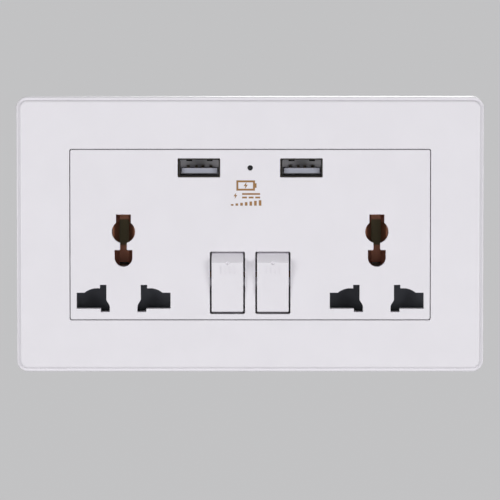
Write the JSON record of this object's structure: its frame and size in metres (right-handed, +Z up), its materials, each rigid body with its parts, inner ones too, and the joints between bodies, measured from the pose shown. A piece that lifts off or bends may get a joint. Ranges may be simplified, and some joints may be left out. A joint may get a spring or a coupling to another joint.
{
  "type": "usb wall socket",
  "caption": "Wide white wall plate with many-pin outlets, black shutters, USB charging ports and rocker switches, on a steel yoke and deep back housing.",
  "frame": {"origin": "middle of the plate on the wall surface", "axes": "+X right as seen from the room, +Y into the wall, +Z up"},
  "size_m": [0.146, 0.0355, 0.086],
  "materials": {
    "white_frame": "satin white with a faint cool tint",
    "white_panel": "satin white with a faint cool tint",
    "white_rocker": "satin white",
    "zinc_steel": "pressed steel with bright zinc plating",
    "housing_plastic": "fine matt moulded surface",
    "zinc_screws": "bright zinc plating",
    "circuit_board": "solder mask",
    "indicator": "small clear package",
    "smoked_light_pipe": "smoked clear plastic",
    "ferrite": "fired grey ferrite",
    "winding_tape": "yellow polyester tape",
    "capacitor_sleeve": "shrink sleeve",
    "component_black": "moulded epoxy",
    "component_blue": "dipped epoxy",
    "copper_strip": "rolled copper alloy strip",
    "terminal_brass": "machined brass",
    "inner_plastic": "moulded nylon",
    "black_shutter": "black moulded plastic",
    "spring_steel": "drawn spring wire",
    "plated_shell": "nickel plated sheet",
    "port_insulator": "pale grey moulded plastic",
    "port_contacts": "gold plated contacts"
  },
  "bodies": {
    "socket": {"bridge_rectifier": "component_black", "charger_board": "circuit_board", "contact_holder_left": "inner_plastic", "contact_holder_right": "inner_plastic", "controller_chip": "component_black", "earth_bar": "copper_strip", "earth_clamp_screw": "zinc_screws", "earth_contact_left": "copper_strip", "earth_contact_right": "copper_strip", "earth_terminal": "terminal_brass", "face_panel": "white_panel", "front_frame": "white_frame", "housing_screws": "zinc_screws", "indicator_led": "indicator", "isolation_capacitor": "component_blue", "light_pipe": "smoked_light_pipe", "live_clamp_screw": "zinc_screws", "live_contact_left": "copper_strip", "live_contact_right": "copper_strip", "live_supply_bar": "copper_strip", "live_terminal": "terminal_brass", "mains_capacitor_lower": "capacitor_sleeve", "mains_capacitor_upper": "capacitor_sleeve", "mounting_yoke": "zinc_steel", "neutral_bar": "copper_strip", "neutral_clamp_screw": "zinc_screws", "neutral_contact_left": "copper_strip", "neutral_contact_right": "copper_strip", "neutral_terminal": "terminal_brass", "output_capacitor": "capacitor_sleeve", "rear_housing": "housing_plastic", "shutter_spring_left": "spring_steel", "shutter_spring_right": "spring_steel", "switched_strip_left": "copper_strip", "switched_strip_right": "copper_strip", "transformer_core": "ferrite", "transformer_winding": "winding_tape", "usb_insulator_left": "port_insulator", "usb_insulator_right": "port_insulator", "usb_pins_left": "port_contacts", "usb_pins_right": "port_contacts", "usb_shell_left": "plated_shell", "usb_shell_right": "plated_shell"},
    "rocker_left_body": {"rocker_left": "white_rocker", "plunger_left": "inner_plastic", "plunger_spring_left": "spring_steel"},
    "contact_arm_left_body": {"contact_arm_left": "copper_strip"},
    "shutter_left_body": {"shutter_left": "black_shutter"},
    "rocker_right_body": {"rocker_right": "white_rocker", "plunger_right": "inner_plastic", "plunger_spring_right": "spring_steel"},
    "contact_arm_right_body": {"contact_arm_right": "copper_strip"},
    "shutter_right_body": {"shutter_right": "black_shutter"}
  },
  "joints": [
    {"name": "rocker_left_tilt", "type": "hinge", "parent": "socket", "child": "rocker_left_body", "pos_m": [-0.0071, -0.005, -0.0151], "axis": [1, 0, 0], "range_deg": [-18, 0]},
    {"name": "rocker_right_tilt", "type": "hinge", "parent": "socket", "child": "rocker_right_body", "pos_m": [0.0071, -0.005, -0.0151], "axis": [1, 0, 0], "range_deg": [-18, 0]},
    {"name": "contact_arm_left_tilt", "type": "hinge", "parent": "socket", "child": "contact_arm_left_body", "pos_m": [-0.0071, 0.00496, -0.0151], "axis": [1, 0, 0], "range_deg": [0, 10]},
    {"name": "contact_arm_right_tilt", "type": "hinge", "parent": "socket", "child": "contact_arm_right_body", "pos_m": [0.0071, 0.00496, -0.0151], "axis": [1, 0, 0], "range_deg": [0, 10]},
    {"name": "shutter_left_lift", "type": "slide", "parent": "socket", "child": "shutter_left_body", "axis": [0, 0, 1], "range_m": [0, 0.0088], "stiffness_N_per_m": 30, "springref_m": -0.006, "deforming": ["shutter_spring_left"]},
    {"name": "shutter_right_lift", "type": "slide", "parent": "socket", "child": "shutter_right_body", "axis": [0, 0, 1], "range_m": [0, 0.0088], "stiffness_N_per_m": 30, "springref_m": -0.006, "deforming": ["shutter_spring_right"]}
  ],
  "couplings": [
    {"joint": "contact_arm_left_tilt", "follows": "rocker_left_tilt", "ratio": -0.5555},
    {"joint": "contact_arm_right_tilt", "follows": "rocker_right_tilt", "ratio": -0.5555}
  ]
}
